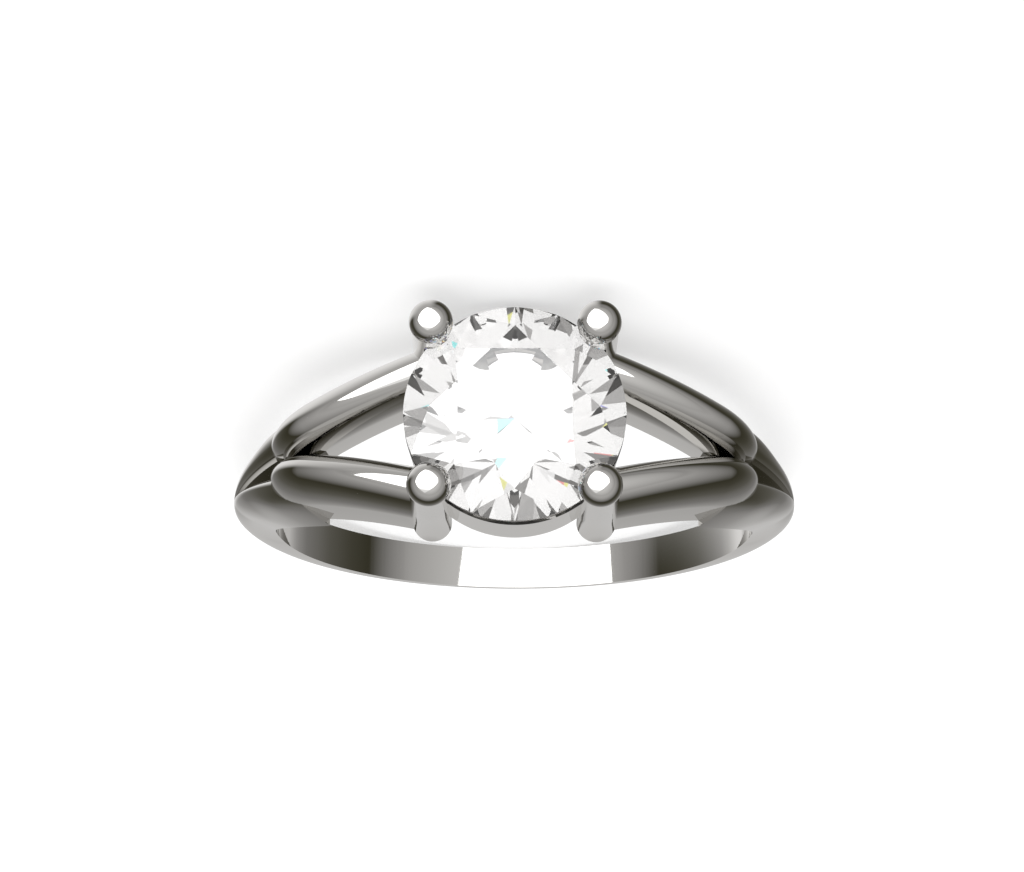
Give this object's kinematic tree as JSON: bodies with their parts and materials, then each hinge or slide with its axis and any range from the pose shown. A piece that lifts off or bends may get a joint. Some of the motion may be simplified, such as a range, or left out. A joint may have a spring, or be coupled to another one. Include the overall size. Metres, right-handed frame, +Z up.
{
  "type": "split shank ring",
  "caption": "Solitaire finger ring with a domed band that splits into curved arms, a gallery rail and beaded prongs round a faceted stone.",
  "frame": {"origin": "middle of the ring's outline on the surface it lies on", "axes": "+Z up, away from that surface; the stone points towards -Y, and the finger goes in near the Z axis"},
  "size_m": [0.0204, 0.0242, 0.0074],
  "materials": {
    "polished_metal": "mirror polished white metal",
    "clear_stone": "faceted, polished"
  },
  "bodies": {
    "root": {"mounting": "polished_metal", "stone": "clear_stone"}
  },
  "joints": []
}
